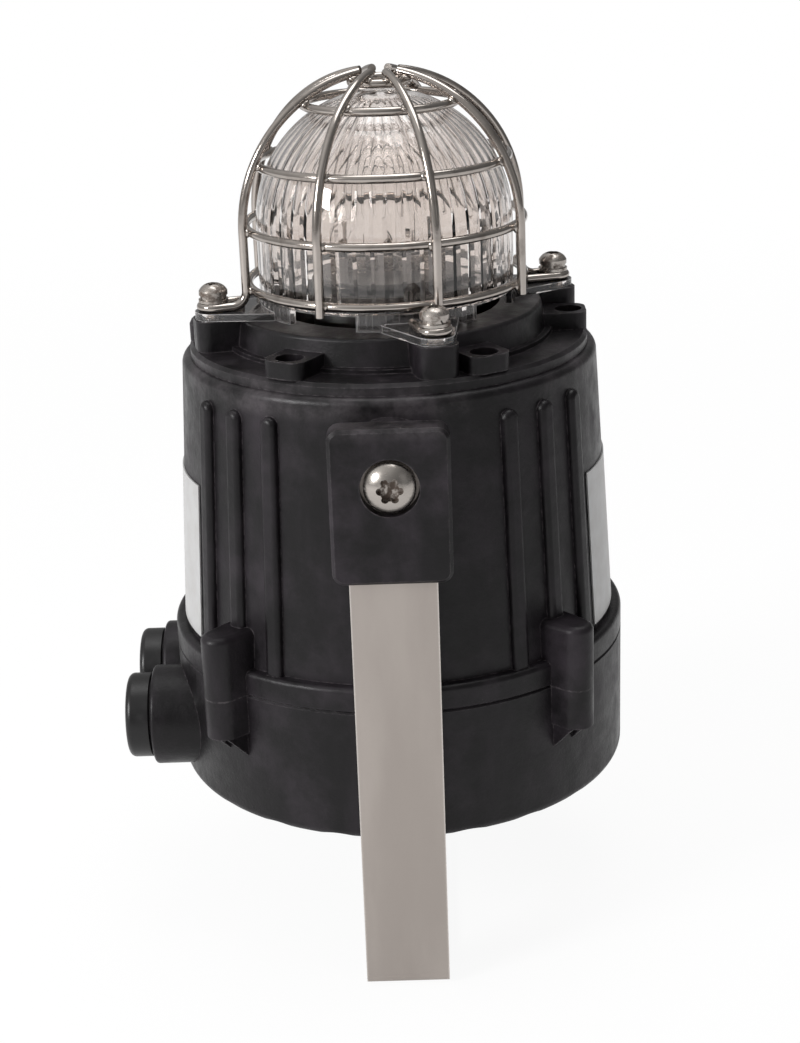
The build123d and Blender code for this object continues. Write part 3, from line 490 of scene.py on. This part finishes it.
def lineRun(run, end):  # adds a straight stretch
    start = run[-1][0]
    run[-1][2] = start.lerp(end, 1 / 3)
    run.append([end.copy(), start.lerp(end, 2 / 3), end.lerp(start, -1 / 3)])
    return run


def addSpline(curve, run, turn, closed=False):
    spline = curve.splines.new("BEZIER")
    points = run[:-1] if closed else run
    if closed:
        points[0][1] = run[-1][1]
    spline.bezier_points.add(len(points) - 1)
    for point, (spot, before, after) in zip(spline.bezier_points, points):
        point.handle_left_type = point.handle_right_type = "FREE"
        point.co, point.handle_left, point.handle_right = (turn @ v * mm for v in (spot, before, after))
    spline.use_cyclic_u = closed
    spline.resolution_u = guard["smoothness"]


def ringRadius(z):  # the rings lie inside the legs, let in by the bite of the weld
    inside = guard["legRadius"] - guard["wire"] + guard["bite"]
    return math.sqrt(inside ** 2 - max(0.0, z - guard["shoulder"]) ** 2)


def legRun(side):
    radius, up = guard["legRadius"], Vector((0, 0, 1))
    reach = math.sqrt(radius ** 2 - side ** 2)
    out = Vector((reach, side, 0)) / radius
    top = math.degrees(math.acos(guard["legEnd"] / radius))
    return arcRun([], Vector((0, 0, guard["shoulder"])), out, up, radius, top, 0), reach


def buildGuard():
    curve = bpy.data.curves.new("guardWires", "CURVE")
    curve.dimensions = "3D"
    curve.bevel_depth = guard["wire"] / 2 * mm
    curve.bevel_resolution = guard["sides"]
    curve.use_fill_caps = True
    inside = guard["legRadius"] - guard["wire"] + guard["bite"]
    rings = [(ringRadius(z), z) for z in guard["levels"]]
    rings.append((guard["topRing"], guard["shoulder"] + math.sqrt(inside ** 2 - guard["topRing"] ** 2)))
    still = Matrix.Identity(3)
    x, y, z = Vector((1, 0, 0)), Vector((0, 1, 0)), Vector((0, 0, 1))
    for radius, level in rings:
        addSpline(curve, arcRun([], Vector((0, 0, level)), x, y, radius, 0, 360), still, True)
    hook, low, bend, screw = guard["hook"], guard["lowZ"], guard["footBend"], guard["screwRadius"]
    spots = []
    hookTurn = math.degrees(math.asin(hook / guard["legRadius"]))
    for k in range(4):
        bearing = guard["angle"] + 90 * k
        turn = Matrix.Rotation(math.radians(bearing - 90), 3, "Z")
        run, reach = legRun(hook)
        lineRun(run, Vector((reach, hook, low + bend)))
        arcRun(run, Vector((reach + bend, hook, low + bend)), -x, -z, bend, 0, 90)
        lineRun(run, Vector((screw, hook, low)))
        arcRun(run, Vector((screw, 0, low)), y, x, hook, 0, 180)
        lineRun(run, Vector((screw - guard["hookReturn"], -hook, low)))
        addSpline(curve, run, turn)
        run, reach = legRun(0)
        lineRun(run, Vector((reach, 0, guard["levels"][0] - guard["wire"])))
        addSpline(curve, run, Matrix.Rotation(math.radians(bearing + hookTurn + 45 - 90), 3, "Z"))
        spots += [bearing + hookTurn, bearing + hookTurn + 45]
    wires = addPiece("guardWires", curve, finishes["wire"])
    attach(wires, "beacon")
    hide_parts("wire_guard")
    return rings, spots


weldBead = {"length": 1.75, "width": 1.05, "height": 0.8, "apart": 1.25, "skew": 0.3, "sink": 0.1}


def buildWelds(rings, spots):  # two beads, one each side of a leg, at every crossing
    mesh = bmesh.new()
    size = Matrix.Diagonal((weldBead["height"], weldBead["width"], weldBead["length"], 1.0))
    touch = guard["wire"] / 2 - weldBead["sink"]
    for radius, level in rings:
        rise = max(0.0, level - guard["shoulder"]) / (guard["legRadius"] - guard["wire"])
        lean = math.asin(min(1.0, rise))
        contact = Vector((radius + touch * math.cos(lean), 0, level + touch * math.sin(lean))) * mm
        for bearing in spots:
            place = (Matrix.Rotation(math.radians(bearing - 90), 4, "Z")
                     @ Matrix.Translation(contact) @ Matrix.Rotation(-lean, 4, "Y"))
            for side in (-1, 1):
                aside = Vector((0, side * weldBead["apart"], side * weldBead["skew"])) * mm
                shift = Matrix.Translation(aside)
                bmesh.ops.create_icosphere(mesh, subdivisions=2, radius=mm, matrix=place @ shift @ size)
    for face in mesh.faces:
        face.smooth = True
    data = bpy.data.meshes.new("guardWelds")
    mesh.to_mesh(data)
    mesh.free()
    welds = addPiece("guardWelds", data, finishes["wire"])
    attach(welds, "beacon")


guardRings, guardSpots = buildGuard()
buildWelds(guardRings, guardSpots)
print("wire guard built")


# floor, light and camera, in metres

stageSetup = {
    "floorSize": 14.0, "floor": rgb(250, 249, 249), "floorShade": rgb(246, 246, 247),
    "floorGlow": 0.93, "glowReach": (0.35, 1.3), "shine": 0.50,
    "skyTop": 0.72, "skySide": 0.34, "skyLow": 0.28, "skyShine": 0.10, "leftShare": 1.35, "rightShare": 0.28,
    "lamps": (  # name, place, aim, size, power
        ("keyLamp", (-1.35, -0.95, 0.95), (0, 0, 0.16), 0.5, 25.0),
        ("fillLamp", (1.2, -1.0, 0.75), (0, 0, 0.16), 0.8, 0.4),
        ("topLamp", (0.15, 0.25, 1.7), (0, 0, 0.15), 1.0, 11.0),
    ),
}


def buildFloor():  # white to the camera, in glass and partly in gloss, with the object's shadow near it
    mesh = bmesh.new()
    bmesh.ops.create_grid(mesh, x_segments=2, y_segments=2, size=stageSetup["floorSize"] / 2)
    data = bpy.data.meshes.new("floor")
    mesh.to_mesh(data)
    mesh.free()
    paint = Paint(bpy.data.materials.new("floorPaper"))
    tone = paint.blendColour(paint.noise(3.0, 2.0), stageSetup["floor"], stageSetup["floorShade"])
    paper = paint.shader(colour=tone, rough=0.9)
    white = paint.add("ShaderNodeEmission", None, {"Color": (1, 1, 1, 1), "Strength": 1.0})
    away = paint.add("ShaderNodeVectorMath", {"operation": "LENGTH"}, {0: paint.place}, "Value")
    glow = paint.span(away, *stageSetup["glowReach"], stageSetup["floorGlow"], 1.0)
    share = paint.ray("Camera") * glow + paint.ray("Transmission") + paint.ray("Glossy") * stageSetup["shine"]
    floor = addPiece("floor", data, paint.finish(paint.mixShaders(share, paper, white)))


def buildSky():  # brighter above and to the left, where the key lamp stands
    world = bpy.data.worlds.new("studioSky")
    bpy.context.scene.world = world
    paint = Paint(world, "Generated")
    height = paint.axis("Z")
    level = paint.span(height, -0.1, 0.35, stageSetup["skyLow"], stageSetup["skySide"])
    level = level + paint.span(height, 0.35, 1.0, 0.0, stageSetup["skyTop"] - stageSetup["skySide"])
    level = level * paint.span(paint.axis("X"), -0.8, 0.8, stageSetup["leftShare"], stageSetup["rightShare"])
    soft = paint.add("ShaderNodeBackground", None, {"Color": (1, 0.995, 0.99, 1), "Strength": level})
    white = paint.add("ShaderNodeBackground", None, {"Color": (1, 1, 1, 1), "Strength": 1.0})
    share = paint.ray("Camera") + paint.ray("Transmission") + paint.ray("Glossy") * stageSetup["skyShine"]
    paint.finish(paint.mixShaders(share, soft, white), "ShaderNodeOutputWorld")


def buildLamps():
    for name, place, aim, size, power in stageSetup["lamps"]:
        lamp = bpy.data.lights.new(name, "AREA")
        lamp.shape, lamp.size, lamp.energy = "SQUARE", size, power
        holder = bpy.data.objects.new(name, lamp)
        bpy.context.scene.collection.objects.link(holder)
        holder.location = place
        holder.rotation_mode = "QUATERNION"
        holder.rotation_quaternion = (Vector(aim) - Vector(place)).to_track_quat("-Z", "Y")


cameraSetup = {  # place in metres, turns in degrees, lens in mm on a 36 mm wide sensor
    "place": (0.010245, -0.664693, 0.374957), "yaw": -0.745, "pitch": 19.753, "roll": -2.088, "lens": 89.0,
}


def buildCamera():
    camera = bpy.data.cameras.new("photoCamera")
    camera.sensor_width, camera.sensor_fit, camera.lens = 36.0, "HORIZONTAL", cameraSetup["lens"]
    holder = bpy.data.objects.new("photoCamera", camera)
    bpy.context.scene.collection.objects.link(holder)
    yaw, pitch, roll = (math.radians(cameraSetup[k]) for k in ("yaw", "pitch", "roll"))
    ahead = Vector((math.sin(yaw) * math.cos(pitch), math.cos(yaw) * math.cos(pitch), -math.sin(pitch)))
    level = Vector((math.cos(yaw), -math.sin(yaw), 0))
    rise = level.cross(ahead)
    right = math.cos(roll) * level + math.sin(roll) * rise
    up = -math.sin(roll) * level + math.cos(roll) * rise
    turn = Matrix((right, up, -ahead)).transposed()
    holder.matrix_world = Matrix.Translation(Vector(cameraSetup["place"])) @ turn.to_4x4()
    bpy.context.scene.camera = holder


buildFloor()
buildSky()
buildLamps()
buildCamera()
bpy.context.scene.view_settings.view_transform = "Standard"
print("stage ready")
